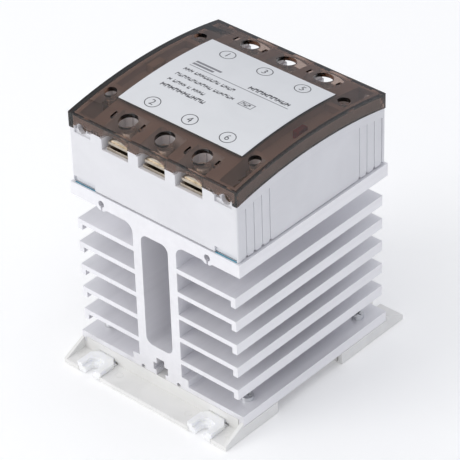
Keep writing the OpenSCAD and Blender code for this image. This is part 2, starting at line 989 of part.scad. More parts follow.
module clamp_line_1() clamp(-term_pitch, 1);
module clamp_line_2() clamp(0, 1);
module clamp_line_3() clamp(term_pitch, 1);
module clamp_load_1() clamp(-term_pitch, 0);
module clamp_load_2() clamp(0, 0);
module clamp_load_3() clamp(term_pitch, 0);
module screw_line_1() power_screw(-term_pitch, 1);
module screw_line_2() power_screw(0, 1);
module screw_line_3() power_screw(term_pitch, 1);
module screw_load_1() power_screw(-term_pitch, -1);
module screw_load_2() power_screw(0, -1);
module screw_load_3() power_screw(term_pitch, -1);
module yoke_front_left() yoke(-corner_x, -corner_y);
module yoke_front_right() yoke(corner_x, -corner_y);
module yoke_back_left() yoke(-corner_x, corner_y);
module yoke_back_right() yoke(corner_x, corner_y);
module pin_front_left() corner_screw(-corner_x, -corner_y);
module pin_front_right() corner_screw(corner_x, -corner_y);
module pin_back_left() corner_screw(-corner_x, corner_y);
module pin_back_right() corner_screw(corner_x, corner_y);

// ---- the part ----

heatsink();
front_foot();
rear_foot();
foot_screws();
latch_left();
latch_right();
latch_spring_left();
latch_spring_right();
thermal_foil();
base_plate();
relay_screws();
substrates();
thyristor_dies();
copper_straps();
potting();
line_bars();
load_bars();
control_bars();
gate_pins();
control_pins();
board_posts();
circuit_board();
board_screws();
opto_couplers();
snubber_capacitors();
varistors();
gate_resistors();
control_regulator();
indicator_lamp();
indicator_window();
housing();
marker_window();
cover();
label();
clamp_line_1();
clamp_line_2();
clamp_line_3();
clamp_load_1();
clamp_load_2();
clamp_load_3();
screw_line_1();
screw_line_2();
screw_line_3();
screw_load_1();
screw_load_2();
screw_load_3();
yoke_front_left();
yoke_front_right();
yoke_back_left();
yoke_back_right();
pin_front_left();
pin_front_right();
pin_back_left();
pin_back_right();
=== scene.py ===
"""Visual model of a three-phase solid state relay on a rail-mounting heatsink.

Every piece is in metres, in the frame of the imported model: X along the rail, Y to the back,
Z up from the floor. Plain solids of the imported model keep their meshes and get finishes;
the ones seen from outside are copied, their edges rounded, and stand for their solids.
"""
from __future__ import annotations

import json
import logging
import math
from dataclasses import dataclass, field
from enum import Enum
from typing import Iterable, Sequence

import bmesh
import bpy
import numpy as np
from mathutils import Matrix, Vector

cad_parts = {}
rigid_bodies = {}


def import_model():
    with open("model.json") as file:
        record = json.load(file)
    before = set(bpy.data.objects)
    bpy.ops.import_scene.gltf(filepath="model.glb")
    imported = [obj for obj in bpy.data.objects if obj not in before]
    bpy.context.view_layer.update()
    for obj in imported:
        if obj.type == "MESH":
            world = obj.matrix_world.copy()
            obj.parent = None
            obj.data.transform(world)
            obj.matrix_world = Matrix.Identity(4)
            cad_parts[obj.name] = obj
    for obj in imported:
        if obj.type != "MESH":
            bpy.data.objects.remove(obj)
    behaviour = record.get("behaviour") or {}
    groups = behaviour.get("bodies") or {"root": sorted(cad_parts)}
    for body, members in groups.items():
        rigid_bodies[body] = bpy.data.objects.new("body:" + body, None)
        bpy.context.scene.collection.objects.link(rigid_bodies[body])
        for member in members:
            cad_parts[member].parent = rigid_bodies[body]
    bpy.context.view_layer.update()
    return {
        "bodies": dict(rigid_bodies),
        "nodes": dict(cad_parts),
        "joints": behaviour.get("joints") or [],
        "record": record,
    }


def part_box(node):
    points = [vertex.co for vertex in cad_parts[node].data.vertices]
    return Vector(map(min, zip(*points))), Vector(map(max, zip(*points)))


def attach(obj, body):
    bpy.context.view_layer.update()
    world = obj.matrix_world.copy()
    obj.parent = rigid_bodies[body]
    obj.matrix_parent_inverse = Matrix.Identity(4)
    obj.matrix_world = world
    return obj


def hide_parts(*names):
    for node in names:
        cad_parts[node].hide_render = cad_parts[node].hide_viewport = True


LOG = logging.getLogger("relay")
MM = 0.001
WELD_GAP = 0.002 * MM
FLAT_ANGLE = math.radians(0.6)
SHARP_ANGLE = math.radians(30.0)
ROUND_ANGLE = math.radians(35.0)
Tone = tuple[float, float, float]


class Grain(Enum):
    """Kinds of fine surface relief."""

    MOULDED = "moulded"
    DRAWN = "drawn"
    PLATED = "plated"


class NodeSheet:
    """Short spellings for adding and joining shader nodes in one tree."""

    def __init__(self, tree: bpy.types.NodeTree) -> None:
        """Starts on a tree that is already empty of nodes.

        Args:
            tree: The material's or group's node tree.
        """
        self.tree = tree

    def add(self, kind: str, **values: object) -> bpy.types.Node:
        """Adds a node and sets its properties and input values.

        Args:
            kind: The node's Blender type name.
            **values: Properties of the node, or inputs where the name starts with "in_".

        Returns:
            The new node.
        """
        node = self.tree.nodes.new(kind)
        for key, value in values.items():
            if key.startswith("in_"):
                node.inputs[key[3:].replace("_", " ")].default_value = value
            else:
                setattr(node, key, value)
        return node

    def join(self, source: bpy.types.NodeSocket, target: bpy.types.NodeSocket) -> None:
        """Links an output to an input."""
        self.tree.links.new(source, target)

    def ramp(self, source: bpy.types.NodeSocket, stops: Sequence[tuple[float, Tone]]) -> bpy.types.NodeSocket:
        """Turns a value into a colour through a ramp.

        Args:
            source: The value that drives the ramp.
            stops: Positions from 0 to 1, each with its colour.

        Returns:
            The ramp's colour output.
        """
        node = self.add("ShaderNodeValToRGB")
        ramp = node.color_ramp
        while len(ramp.elements) < len(stops):
            ramp.elements.new(0.5)
        for element, (place, tone) in zip(ramp.elements, stops):
            element.position = place
            element.color = (*tone, 1.0)
        self.join(source, node.inputs["Fac"])
        return node.outputs["Color"]

    def fit(self, source: bpy.types.NodeSocket, low: float, high: float) -> bpy.types.NodeSocket:
        """Carries a 0 to 1 value to the range from low to high."""
        node = self.add("ShaderNodeMapRange")
        node.inputs["To Min"].default_value = low
        node.inputs["To Max"].default_value = high
        self.join(source, node.inputs["Value"])
        return node.outputs["Result"]


class GroupShelf:
    """The node groups that several finishes share, each made once."""

    def __init__(self) -> None:
        """Starts with an empty shelf."""
        self._made: dict[str, bpy.types.NodeTree] = {}

    def get(self, grain: Grain) -> bpy.types.NodeTree:
        """Gives the group for a kind of relief, making it at first use.

        Args:
            grain: The kind of relief.

        Returns:
            A group with a Size input and with Tone, Gloss and Height outputs from 0 to 1.
        """
        if grain.value not in self._made:
            makers = {Grain.MOULDED: self._moulded, Grain.DRAWN: self._drawn, Grain.PLATED: self._plated}
            self._made[grain.value] = makers[grain]()
        return self._made[grain.value]

    def _empty(self, name: str) -> tuple[NodeSheet, bpy.types.Node, bpy.types.NodeSocket]:
        """Makes a group with its sockets and object coordinates.

        Args:
            name: The group's name.

        Returns:
            The sheet, the group's output node, and the scaled coordinates.
        """
        tree = bpy.data.node_groups.new(name, "ShaderNodeTree")
        size = tree.interface.new_socket("Size", in_out="INPUT", socket_type="NodeSocketFloat")
        size.default_value = 1.0
        for label in ("Tone", "Gloss", "Height"):
            tree.interface.new_socket(label, in_out="OUTPUT", socket_type="NodeSocketFloat")
        sheet = NodeSheet(tree)
        entry = sheet.add("NodeGroupInput")
        leave = sheet.add("NodeGroupOutput")
        place = sheet.add("ShaderNodeTexCoord")
        scaled = sheet.add("ShaderNodeVectorMath", operation="SCALE")
        sheet.join(place.outputs["Object"], scaled.inputs[0])
        sheet.join(entry.outputs["Size"], scaled.inputs["Scale"])
        return sheet, leave, scaled.outputs["Vector"]

    def _moulded(self) -> bpy.types.NodeTree:
        """Spark-eroded mould texture: fine even grain, a slow flow mottle and soft sink marks."""
        sheet, leave, place = self._empty("moulded_relief")
        fine = sheet.add("ShaderNodeTexNoise", in_Scale=5200.0, in_Detail=3.0, in_Roughness=0.6)
        flow = sheet.add("ShaderNodeTexNoise", in_Scale=46.0, in_Detail=4.0, in_Roughness=0.55, in_Distortion=0.8)
        rub = sheet.add("ShaderNodeTexNoise", in_Scale=210.0, in_Detail=5.0, in_Roughness=0.7)
        for node in (fine, flow, rub):
            sheet.join(place, node.inputs["Vector"])
        sheet.join(flow.outputs["Fac"], leave.inputs["Tone"])
        sheet.join(rub.outputs["Fac"], leave.inputs["Gloss"])
        sheet.join(fine.outputs["Fac"], leave.inputs["Height"])
        return sheet.tree

    def _drawn(self) -> bpy.types.NodeTree:
        """Die lines of an extrusion along Y: noise stretched a hundred times along the draw."""
        sheet, leave, place = self._empty("drawn_relief")
        long = sheet.add("ShaderNodeMapping")
        long.inputs["Scale"].default_value = (1.0, 0.012, 1.0)
        sheet.join(place, long.inputs["Vector"])
        lines = sheet.add("ShaderNodeTexNoise", in_Scale=1500.0, in_Detail=4.0, in_Roughness=0.75)
        bands = sheet.add("ShaderNodeTexNoise", in_Scale=240.0, in_Detail=3.0, in_Roughness=0.6)
        haze = sheet.add("ShaderNodeTexNoise", in_Scale=38.0, in_Detail=5.0, in_Roughness=0.6)
        for node in (lines, bands):
            sheet.join(long.outputs["Vector"], node.inputs["Vector"])
        sheet.join(place, haze.inputs["Vector"])
        blend = sheet.add("ShaderNodeMix", data_type="FLOAT")
        blend.inputs[0].default_value = 0.45
        sheet.join(bands.outputs["Fac"], blend.inputs[2])
        sheet.join(haze.outputs["Fac"], blend.inputs[3])
        sheet.join(blend.outputs[0], leave.inputs["Tone"])
        sheet.join(bands.outputs["Fac"], leave.inputs["Gloss"])
        sheet.join(lines.outputs["Fac"], leave.inputs["Height"])
        return sheet.tree

    def _plated(self) -> bpy.types.NodeTree:
        """Bright plating: faint orange peel, wiping scratches and a patchy tarnish."""
        sheet, leave, place = self._empty("plated_relief")
        peel = sheet.add("ShaderNodeTexNoise", in_Scale=1100.0, in_Detail=2.0)
        wipe = sheet.add("ShaderNodeMapping")
        wipe.inputs["Rotation"].default_value = (0.2, 0.1, 0.7)
        wipe.inputs["Scale"].default_value = (1.0, 0.06, 1.0)
        scratch = sheet.add("ShaderNodeTexNoise", in_Scale=2600.0, in_Detail=3.0, in_Roughness=0.8)
        tarnish = sheet.add("ShaderNodeTexNoise", in_Scale=330.0, in_Detail=5.0, in_Roughness=0.6)
        sheet.join(place, peel.inputs["Vector"])
        sheet.join(place, wipe.inputs["Vector"])
        sheet.join(wipe.outputs["Vector"], scratch.inputs["Vector"])
        sheet.join(place, tarnish.inputs["Vector"])
        both = sheet.add("ShaderNodeMath", operation="MULTIPLY")
        sheet.join(peel.outputs["Fac"], both.inputs[0])
        sheet.join(scratch.outputs["Fac"], both.inputs[1])
        sheet.join(tarnish.outputs["Fac"], leave.inputs["Tone"])
        sheet.join(scratch.outputs["Fac"], leave.inputs["Gloss"])
        sheet.join(both.outputs["Value"], leave.inputs["Height"])
        return sheet.tree


@dataclass(frozen=True)
class Finish:
    """One surface finish: two tones, a gloss range and a relief, on a Principled shader."""

    name: str
    grain: Grain
    light: Tone
    dark: Tone
    gloss: tuple[float, float] = (0.4, 0.55)
    relief: float = 0.1
    step: float = 0.00002
    size: float = 1.0
    fixed: dict[str, object] = field(default_factory=dict)
    depth: tuple[Tone, float] | None = None
    shade: Tone | None = None

    def material(self, shelf: GroupShelf) -> bpy.types.Material:
        """Builds the material.

        Args:
            shelf: The shared node groups.

        Returns:
            The finished material.
        """
        made = bpy.data.materials.new(self.name)
        made.use_nodes = True
        made.node_tree.nodes.clear()
        sheet = NodeSheet(made.node_tree)
        output = sheet.add("ShaderNodeOutputMaterial")
        shader = sheet.add("ShaderNodeBsdfPrincipled")
        sheet.join(shader.outputs["BSDF"], output.inputs["Surface"])
        relief = sheet.add("ShaderNodeGroup")
        relief.node_tree = shelf.get(self.grain)
        relief.inputs["Size"].default_value = self.size
        tone = sheet.ramp(relief.outputs["Tone"], [(0.3, self.dark), (0.68, self.light)])
        sheet.join(tone, shader.inputs["Base Color"])
        sheet.join(sheet.fit(relief.outputs["Gloss"], *self.gloss), shader.inputs["Roughness"])
        bump = sheet.add("ShaderNodeBump", in_Strength=self.relief, in_Distance=self.step)
        sheet.join(relief.outputs["Height"], bump.inputs["Height"])
        sheet.join(bump.outputs["Normal"], shader.inputs["Normal"])
        for socket, value in self.fixed.items():
            shader.inputs[socket].default_value = value
        if self.depth is not None:
            tint = sheet.add("ShaderNodeVolumeAbsorption")
            tint.inputs["Color"].default_value = (*self.depth[0], 1.0)
            tint.inputs["Density"].default_value = self.depth[1]
            sheet.join(tint.outputs["Volume"], output.inputs["Volume"])
        if self.shade is not None:
            clear = sheet.add("ShaderNodeBsdfTransparent")
            clear.inputs["Color"].default_value = (*self.shade, 1.0)
            either = sheet.add("ShaderNodeMixShader")
            sheet.join(sheet.add("ShaderNodeLightPath").outputs["Is Shadow Ray"], either.inputs[0])
            sheet.join(shader.outputs["BSDF"], either.inputs[1])
            sheet.join(clear.outputs["BSDF"], either.inputs[2])
            sheet.join(either.outputs["Shader"], output.inputs["Surface"])
        return made


FINISHES: dict[str, Finish] = {
    finish.name: finish
    for finish in (
        Finish("anodised_aluminium", Grain.DRAWN, (0.90, 0.895, 0.925), (0.82, 0.815, 0.845), (0.30, 0.46), 0.25,
               fixed={"Metallic": 0.42}),
        Finish("white_plastic", Grain.MOULDED, (0.765, 0.765, 0.795), (0.725, 0.725, 0.755), (0.38, 0.5), 0.12),
        Finish("foot_plastic", Grain.MOULDED, (0.86, 0.855, 0.84), (0.79, 0.785, 0.77), (0.42, 0.58), 0.16),
        Finish("nylon", Grain.MOULDED, (0.97, 0.975, 0.99), (0.93, 0.94, 0.97), (0.3, 0.42), 0.1,
               fixed={"Subsurface Weight": 0.35, "Subsurface Radius": (0.004, 0.004, 0.005), "Subsurface Scale": 1.0}),
        Finish("smoked_cover", Grain.MOULDED, (0.99, 0.99, 0.99), (0.97, 0.97, 0.97), (0.015, 0.05), 0.01,
               fixed={"Transmission Weight": 1.0, "IOR": 1.5}, depth=((0.60, 0.47, 0.39), 950.0),
               shade=(0.9, 0.9, 0.9)),
        # Painted shade: a near-black tint on the cover's rounded edges, standing in for the dark rim that thick clear
        # plastic shows edge-on.
        Finish("cover_edge_painted_dark", Grain.MOULDED, (0.05, 0.05, 0.055), (0.03, 0.03, 0.035), (0.05, 0.1), 0.01,
               fixed={"Transmission Weight": 1.0, "IOR": 1.5}, depth=((0.60, 0.44, 0.32), 700.0)),
        Finish("label_foil", Grain.MOULDED, (0.78, 0.79, 0.81), (0.74, 0.75, 0.77), (0.32, 0.42), 0.06,
               fixed={"Metallic": 0.15}),
        Finish("label_ink", Grain.MOULDED, (0.11, 0.11, 0.12), (0.06, 0.06, 0.07), (0.5, 0.6), 0.05),
        Finish("label_ink_pale", Grain.MOULDED, (0.26, 0.26, 0.28), (0.20, 0.20, 0.22), (0.5, 0.6), 0.05),
        # Painted shadow: a near-black strip standing for the shade line along the label's raised edge.
        Finish("label_edge_shadow", Grain.MOULDED, (0.03, 0.03, 0.03), (0.02, 0.02, 0.02), (0.4, 0.5), 0.05),
        Finish("nickel", Grain.PLATED, (0.60, 0.54, 0.46), (0.40, 0.35, 0.28), (0.14, 0.34), 0.2,
               fixed={"Metallic": 1.0}),
        Finish("screw_nickel", Grain.PLATED, (0.88, 0.87, 0.85), (0.66, 0.64, 0.61), (0.16, 0.32), 0.2,
               fixed={"Metallic": 1.0}),
        Finish("zinc_steel", Grain.PLATED, (0.80, 0.81, 0.82), (0.60, 0.61, 0.62), (0.2, 0.4), 0.25,
               fixed={"Metallic": 1.0}),
        Finish("spring_steel", Grain.PLATED, (0.45, 0.45, 0.46), (0.28, 0.28, 0.29), (0.25, 0.4), 0.2,
               fixed={"Metallic": 1.0}),
        Finish("foil", Grain.MOULDED, (0.07, 0.30, 0.42), (0.04, 0.20, 0.31), (0.4, 0.5), 0.1),
        Finish("plain_aluminium", Grain.DRAWN, (0.80, 0.81, 0.82), (0.66, 0.67, 0.68), (0.25, 0.4), 0.3,
               fixed={"Metallic": 1.0}),
        Finish("ceramic", Grain.MOULDED, (0.90, 0.90, 0.87), (0.84, 0.84, 0.80), (0.4, 0.55), 0.15),
        Finish("silicon", Grain.PLATED, (0.22, 0.23, 0.27), (0.13, 0.14, 0.17), (0.1, 0.2), 0.1,
               fixed={"Metallic": 0.6}),
        Finish("copper", Grain.PLATED, (0.85, 0.50, 0.32), (0.60, 0.30, 0.17), (0.2, 0.35), 0.2,
               fixed={"Metallic": 1.0}),
        Finish("gel", Grain.MOULDED, (0.80, 0.82, 0.83), (0.74, 0.76, 0.77), (0.1, 0.2), 0.05,
               fixed={"Alpha": 0.75}),
        Finish("brass_pin", Grain.PLATED, (0.86, 0.68, 0.36), (0.62, 0.46, 0.20), (0.2, 0.35), 0.2,
               fixed={"Metallic": 1.0}),
        Finish("board", Grain.MOULDED, (0.06, 0.26, 0.13), (0.03, 0.17, 0.08), (0.22, 0.34), 0.1),
        Finish("white_epoxy", Grain.MOULDED, (0.82, 0.82, 0.79), (0.74, 0.74, 0.71), (0.4, 0.55), 0.15),
        Finish("blue_case", Grain.MOULDED, (0.05, 0.13, 0.42), (0.03, 0.09, 0.32), (0.25, 0.4), 0.1),
        Finish("orange_coat", Grain.MOULDED, (0.72, 0.26, 0.04), (0.58, 0.19, 0.03), (0.2, 0.35), 0.2),
        Finish("resistor_coat", Grain.MOULDED, (0.62, 0.48, 0.28), (0.52, 0.39, 0.22), (0.35, 0.5), 0.15),
        Finish("black_epoxy", Grain.MOULDED, (0.035, 0.035, 0.038), (0.02, 0.02, 0.022), (0.4, 0.55), 0.15),
        Finish("red_lens", Grain.MOULDED, (0.42, 0.03, 0.03), (0.30, 0.02, 0.02), (0.1, 0.2), 0.05),
        Finish("pale_plastic", Grain.MOULDED, (0.80, 0.76, 0.70), (0.72, 0.68, 0.62), (0.3, 0.42), 0.1),
        Finish("floor_paper", Grain.MOULDED, (0.96, 0.96, 0.96), (0.94, 0.94, 0.94), (0.8, 0.9), 0.05, size=0.1,
               fixed={"Emission Color": (1.0, 1.0, 1.0, 1.0), "Emission Strength": 0.12}),
    )
}


class Workshop:
    """The frame, the finished materials and the making of pieces."""

    def __init__(self, frame: dict[str, object]) -> None:
        """Keeps the frame and dresses nothing yet.
        """
        self.nodes: dict[str, bpy.types.Object] = frame["nodes"]
        record = frame["record"]
        self.slot_of = {part["node"]: part["material_slot"] for part in record["subparts"]}
        self.body_of = {node: body for body, group in record["behaviour"]["bodies"].items() for node in group}
        self.shelf = GroupShelf()
        self._materials: dict[str, bpy.types.Material] = {}

    def material(self, name: str) -> bpy.types.Material:
        """Gives a finish's material, building it at first use."""
        if name not in self._materials:
            self._materials[name] = FINISHES[name].material(self.shelf)
        return self._materials[name]

    def dress(self, node: str, finish: str) -> None:
        """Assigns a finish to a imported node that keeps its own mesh."""
        mesh = self.nodes[node].data
        mesh.materials.clear()
        mesh.materials.append(self.material(finish))

    def piece(self, name: str, points: np.ndarray, faces: np.ndarray, finish: str, body: str) -> bpy.types.Object:
        """Makes a new flat-shaded piece from arrays and lets it ride on a body.

        Args:
            name: The piece's name.
            points: Vertex places, one row each, in metres.
            faces: Vertex numbers of each face, one row each.
            finish: The name of its finish.
            body: The body that it moves with.

        Returns:
            The new object.
        """
        mesh = bpy.data.meshes.new(name)
        mesh.from_pydata(points.tolist(), [], faces.tolist())
        mesh.polygons.foreach_set("use_smooth", np.zeros(len(mesh.polygons), dtype=bool))
        mesh.materials.append(self.material(finish))
        mesh.update()
        made = bpy.data.objects.new(name, mesh)
        bpy.context.scene.collection.objects.link(made)
        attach(made, body)
        return made

    def sheet(self, name: str, grid: np.ndarray, turned: bool, finish: str, body: str, slot: str) -> bpy.types.Object:
        """Makes a thin closed sheet from two layers of a grid.

        Args:
            name: The piece's name.
            grid: Places by first parameter, second parameter and layer, lower layer first.
            turned: Whether the second parameter runs clockwise from the first, seen from above.
            finish: The name of its finish.
            body: The body that it moves with.
            slot: Not used.

        Returns:
            The new object. Its faces are the two layers, the lower one turned over, and a band
            of quads that joins their rims.
        """
        rows, columns = grid.shape[:2]
        number = np.arange(rows * columns).reshape(rows, columns)
        upper = patch_faces(rows, columns) + rows * columns
        lower = patch_faces(rows, columns)[:, ::-1]
        rim = np.concatenate([number[:, 0], number[-1, 1:], number[-2::-1, -1], number[0, -2:0:-1]])
        after = np.roll(rim, -1)
        band = np.stack([rim, after, after + rows * columns, rim + rows * columns], axis=-1)
        faces = np.concatenate([upper, lower, band])
        points = np.concatenate([grid[:, :, 0].reshape(-1, 3), grid[:, :, 1].reshape(-1, 3)])
        return self.piece(name, points, faces[:, ::-1] if turned else faces, finish, body)

    def rounded(self, node: str, finish: str, radius: float, segments: int = 2,
                edge_finish: str | None = None) -> bpy.types.Object:
        """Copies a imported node, merges its loose triangles and rounds its edges.

        Args:
            node: The node to copy and stand for.
            finish: The name of its finish.
            radius: How wide the rounding is, in metres.
            segments: How many facets the rounding has.
            edge_finish: The name of the finish of the rounding, where it has one of its own.

        Returns:
            The new object.
        """
        mesh = self.nodes[node].data.copy()
        work = bmesh.new()
        work.from_mesh(mesh)
        bmesh.ops.remove_doubles(work, verts=work.verts, dist=WELD_GAP)
        bmesh.ops.dissolve_limit(work, angle_limit=FLAT_ANGLE, verts=work.verts, edges=work.edges,
                                 use_dissolve_boundaries=False)
        work.to_mesh(mesh)
        work.free()
        mesh.name = node + "_shape"
        mesh.materials.clear()
        mesh.materials.append(self.material(finish))
        mesh.polygons.foreach_set("material_index", np.zeros(len(mesh.polygons), dtype=np.int32))
        mesh.polygons.foreach_set("use_smooth", np.ones(len(mesh.polygons), dtype=bool))
        mesh.set_sharp_from_angle(angle=SHARP_ANGLE)
        made = bpy.data.objects.new(node + "_shape", mesh)
        bpy.context.scene.collection.objects.link(made)
        bevel = made.modifiers.new("edge", "BEVEL")
        bevel.width = radius
        bevel.segments = segments
        bevel.limit_method = "ANGLE"
        bevel.angle_limit = ROUND_ANGLE
        bevel.use_clamp_overlap = True
        bevel.harden_normals = True
        if edge_finish is not None:
            mesh.materials.append(self.material(edge_finish))
            bevel.material = 1
        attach(made, self.body_of[node])
        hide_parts(node)
        return made


@dataclass
class Heatsink:
    """Extruded heatsink with its screws, foil and base plate."""

    edge: float = 0.22 * MM
    tab_w: float = 12.2 * MM
    tab_d: float = 0.5 * MM
    tab_in: float = 1.3 * MM
    tab_back: float = 0.1 * MM
    foil_lift: float = 0.04 * MM
    foil_t: float = 0.2 * MM
    wave: float = 0.06 * MM

    def build(self, shop: Workshop) -> None:
        """Makes the heatsink and dresses what is clamped to it."""
        shop.rounded("heatsink", "anodised_aluminium", self.edge)
        shop.rounded("foot_screws", "zinc_steel", 0.15 * MM)
        shop.dress("thermal_foil", "foil")
        shop.dress("base_plate", "plain_aluminium")
        shop.dress("relay_screws", "zinc_steel")
        self.foil_tabs(shop)
        LOG.info("heatsink built")

    def foil_tabs(self, shop: Workshop) -> None:
        """Adds the four foil corners that show in the recesses under the housing."""
        low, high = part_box("housing")
        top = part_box("heatsink")[1].z
        s, t, u = np.meshgrid(np.linspace(0, 1, 14), np.linspace(0, 1, 4), np.array([0.0, 1.0]), indexing="ij")
        for k, (side, end) in enumerate(((-1, -1), (1, -1), (-1, 1), (1, 1))):
            x = side * (high.x - self.tab_in + self.tab_w * (s - 1))
            y = end * (high.y - self.tab_back - self.tab_d * (1 - t))
            z = top + self.foil_lift + self.foil_t * u + self.wave * np.sin(5.0 * s + 2.0 * t) ** 2
            shop.sheet(f"foil_tab_{k + 1}", np.stack([x, y, z], axis=-1), side * end < 0, "foil", "relay", "foil")


@dataclass
class Feet:
    """The two moulded feet, the rail latches and their springs."""

    edge: float = 0.3 * MM
    latch_edge: float = 0.45 * MM

    def build(self, shop: Workshop) -> None:
        """Makes the feet and the latches."""
        for node in ("front_foot", "rear_foot"):
            shop.rounded(node, "foot_plastic", self.edge)
        for side in ("left", "right"):
            shop.rounded(f"latch_{side}", "nylon", self.latch_edge, segments=3)
            shop.dress(f"latch_spring_{side}", "spring_steel")
        LOG.info("feet built")


@dataclass
class PowerStage:
    """Everything sealed inside the housing."""

    finishes: dict[str, str] = field(default_factory=lambda: {
        "substrates": "ceramic", "thyristor_dies": "silicon", "copper_straps": "copper", "potting": "gel",
        "gate_pins": "brass_pin", "control_pins": "brass_pin", "board_posts": "brass_pin",
        "circuit_board": "board", "board_screws": "zinc_steel", "opto_couplers": "white_epoxy",
        "snubber_capacitors": "blue_case", "varistors": "orange_coat", "gate_resistors": "resistor_coat",
        "control_regulator": "black_epoxy", "indicator_lamp": "red_lens",
    })

    def build(self, shop: Workshop) -> None:
        """Dresses the inner nodes."""
        for node, finish in self.finishes.items():
            shop.dress(node, finish)
        LOG.info("power stage dressed")


@dataclass
class Terminals:
    """Bars, clamps and screws of the six power and four control terminals."""

    edge: float = 0.18 * MM

    def build(self, shop: Workshop) -> None:
        """Makes the terminals."""
        for node in ("line_bars", "load_bars", "control_bars"):
            shop.rounded(node, "nickel", 0.1 * MM)
        for node in [name for name in shop.nodes if name.startswith(("clamp_", "yoke_"))]:
            shop.rounded(node, "nickel", self.edge)
        for node in [name for name in shop.nodes if name.startswith(("screw_", "pin_"))]:
            shop.rounded(node, "screw_nickel", self.edge)
        LOG.info("terminals built")


@dataclass
class Housing:
    """White housing with its indicator and marker windows."""

    edge: float = 0.2 * MM

    def build(self, shop: Workshop) -> None:
        """Makes the housing and its two windows."""
        shop.rounded("housing", "white_plastic", self.edge)
        shop.rounded("indicator_window", "red_lens", 0.1 * MM)
        shop.rounded("marker_window", "pale_plastic", 0.1 * MM)
        LOG.info("housing built")


@dataclass
class Cover:
    """Smoked arched cover with the printed label on it."""

    edge: float = 0.45 * MM
    lift: float = 0.03 * MM
    label_rise: float = 0.3 * MM
    rise: float = 5.0 * MM

    def arch(self) -> tuple[float, float]:
        """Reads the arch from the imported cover.

        Returns:
            The arch's radius and the height of its axis: with half depth a and rise h,
            the radius is (a squared + h squared) over twice h.
        """
        low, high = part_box("cover")
        half = (high.y - low.y) / 2
        radius = (half * half + self.rise * self.rise) / (2 * self.rise)
        return radius, high.z - radius

    def on_arch(self, x: np.ndarray, y: np.ndarray, lift: float) -> np.ndarray:
        """Lays flat label coordinates on the arched label.

        Args:
            x: Places along X, in metres.
            y: Places along Y, in metres.
            lift: Height above the label's face, in metres.

        Returns:
            Rows of x, y and z, where z is the circle's height over y at the raised radius.
        """
        radius, axis = self.arch()
        outer = radius + self.label_rise + lift
        return np.stack([x, y, axis + np.sqrt(outer * outer - y * y)], axis=-1)

    def build(self, shop: Workshop) -> None:
        """Makes the cover, the label and its print."""
        # The rounding gets a near-black finish, which is painted shade along the cover's edges.
        shop.rounded("cover", "smoked_cover", self.edge, segments=3, edge_finish="cover_edge_painted_dark")
        shop.rounded("label", "label_foil", 0.08 * MM)
        LabelPrint(self).build(shop)
        LOG.info("cover built")


def patch_faces(rows: int, columns: int, closed: bool = False) -> np.ndarray:
    """Numbers the quads of a grid of points stored row by row.

    Args:
        rows: Points along the first parameter.
        columns: Points along the second parameter.
        closed: Whether the first parameter comes back to its start.

    Returns:
        One row of four vertex numbers per quad.
    """
    first = np.arange(rows if closed else rows - 1)
    second = np.arange(columns - 1)
    i, j = np.meshgrid(first, second, indexing="ij")
    after = (i + 1) % rows
    quads = np.stack([i * columns + j, after * columns + j, after * columns + j + 1, i * columns + j + 1], axis=-1)
    return quads.reshape(-1, 4)


@dataclass(frozen=True)
class MarkRow:
    """One row of short marks on the label, in millimetres, with the start of its number series."""

    left: float
    right: float
    middle: float
    height: float
    seed: int
    narrow: float
    wide: float


